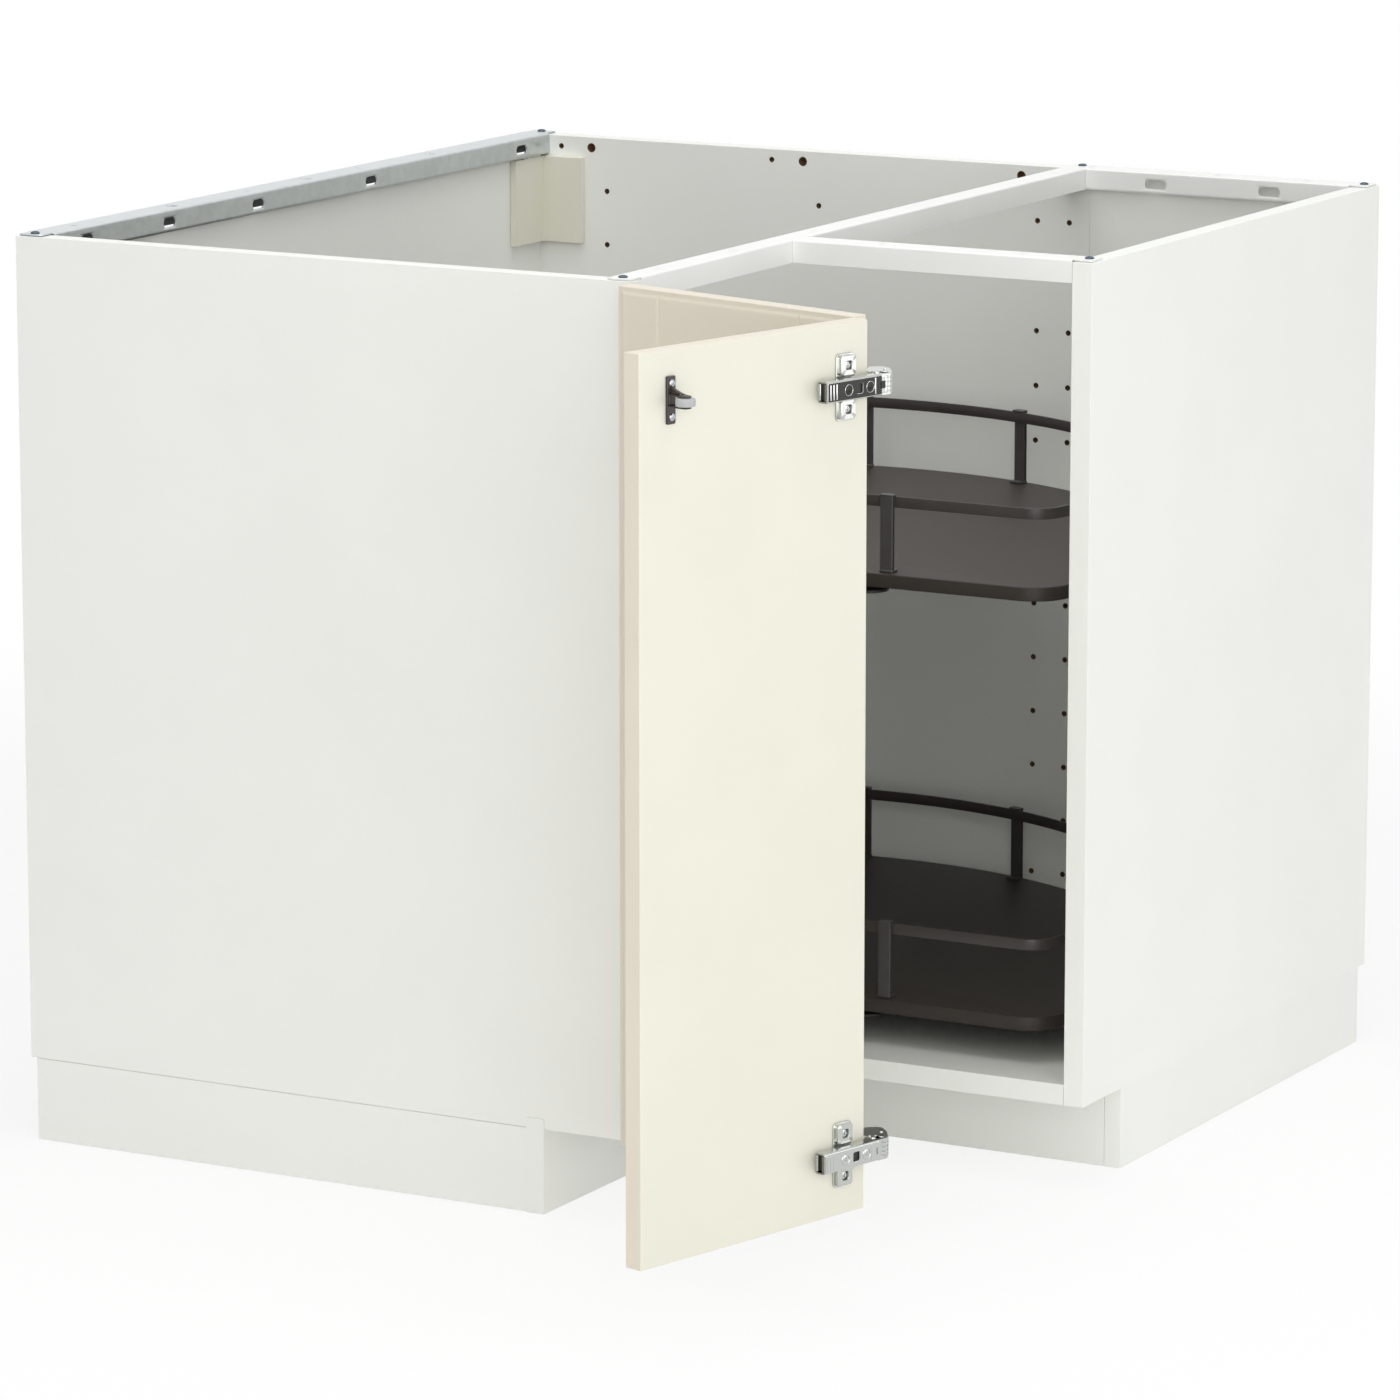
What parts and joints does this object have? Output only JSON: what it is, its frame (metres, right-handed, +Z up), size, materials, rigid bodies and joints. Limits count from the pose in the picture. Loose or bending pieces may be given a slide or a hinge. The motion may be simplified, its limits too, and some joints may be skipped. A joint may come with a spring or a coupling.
{
  "type": "corner carousel cabinet",
  "caption": "L-shaped kitchen base cabinet for a corner, with a folding two-leaf door and turning pie-cut trays with galleries on a centre post.",
  "frame": {"origin": "on the floor, at the centre of the foot that stands in the room's corner, 70 mm from both walls", "axes": "+Z up; the left wall is at X = -0.07 and the rear wall at Y = 0.07; the room lies towards +X and -Y"},
  "size_m": [0.8841, 1.2254, 0.7948],
  "materials": {
    "white_foil": "smooth white foil on particleboard, silk-matt",
    "white_steel": "white powder coat, silk",
    "galvanised_steel": "plain galvanised sheet",
    "zinc_steel": "bright zinc plate",
    "cream_foil": "off-white foil on fibreboard, satin",
    "chrome": "bright nickel plate on pressed steel",
    "black_plastic": "moulded, satin",
    "grey_plastic": "moulded, satin",
    "tray_foil": "dark grey foil on fibreboard, matt",
    "black_steel": "dark grey powder coat, satin"
  },
  "bodies": {
    "carcass": {"left_side_panel": "white_foil", "rear_side_panel": "white_foil", "right_side_panel": "white_foil", "main_bottom_panel": "white_foil", "wing_bottom_panel": "white_foil", "left_back_panel": "white_foil", "wing_back_panel": "white_foil", "wall_rail": "galvanised_steel", "middle_rail": "white_steel", "front_rail": "white_steel", "back_rail": "white_steel", "corner_block": "cream_foil", "corner_block_clip": "zinc_steel", "left_end_plinth": "white_foil", "main_front_plinth": "white_foil", "wing_front_plinth": "white_foil", "right_end_plinth": "white_foil", "plinth_end_cap": "white_foil", "leg_corner": "black_plastic", "leg_left_rear": "black_plastic", "leg_left_front": "black_plastic", "leg_centre": "black_plastic", "leg_right_front": "black_plastic", "leg_right_rear": "black_plastic", "left_plinth_clip": "black_plastic", "right_plinth_clip": "black_plastic", "upper_side_hinge_plate": "chrome", "upper_side_hinge_arm": "chrome", "lower_side_hinge_plate": "chrome", "lower_side_hinge_arm": "chrome", "centre_post": "black_steel", "post_flange": "black_steel", "post_cap": "black_plastic", "upper_post_collar": "zinc_steel", "lower_post_collar": "zinc_steel"},
    "first_leaf": {"hinged_leaf": "cream_foil", "upper_side_hinge_cup": "chrome", "lower_side_hinge_cup": "chrome", "upper_fold_hinge_cup": "chrome", "lower_fold_hinge_cup": "chrome"},
    "second_leaf": {"folding_leaf": "cream_foil", "upper_fold_hinge_plate": "chrome", "upper_fold_hinge_arm": "chrome", "lower_fold_hinge_plate": "chrome", "lower_fold_hinge_arm": "chrome", "roller_bracket": "black_plastic", "roller_pin": "zinc_steel"},
    "roller": {"catch_roller": "grey_plastic"},
    "upper_tray": {"upper_tray_board": "tray_foil", "upper_gallery": "black_steel", "upper_tray_hub": "black_plastic", "upper_bearing_ring": "grey_plastic", "upper_tray_disc": "black_plastic"},
    "lower_tray": {"lower_tray_board": "tray_foil", "lower_gallery": "black_steel", "lower_tray_hub": "black_plastic", "lower_bearing_ring": "grey_plastic", "lower_tray_disc": "black_plastic"}
  },
  "joints": [
    {"name": "door_swing", "type": "hinge", "parent": "carcass", "child": "first_leaf", "pos_m": [0.5303, -0.8141, 0.4345], "axis": [0, 0, 1], "range_deg": [-48, 105]},
    {"name": "leaf_fold", "type": "hinge", "parent": "first_leaf", "child": "second_leaf", "pos_m": [0.77907, -0.90219, 0.4345], "axis": [0, 0, 1], "range_deg": [-60, 0]},
    {"name": "catch_roller_spin", "type": "hinge", "parent": "second_leaf", "child": "roller", "pos_m": [0.75587, -1.12787, 0.7545], "axis": [0, 0, 1], "continuous": true},
    {"name": "upper_tray_turn", "type": "hinge", "parent": "carcass", "child": "upper_tray", "pos_m": [0.37, -0.37, 0.5], "axis": [0, 0, 1], "range_deg": [-360, 360]},
    {"name": "lower_tray_turn", "type": "hinge", "parent": "carcass", "child": "lower_tray", "pos_m": [0.37, -0.37, 0.12], "axis": [0, 0, 1], "range_deg": [-360, 360]}
  ]
}
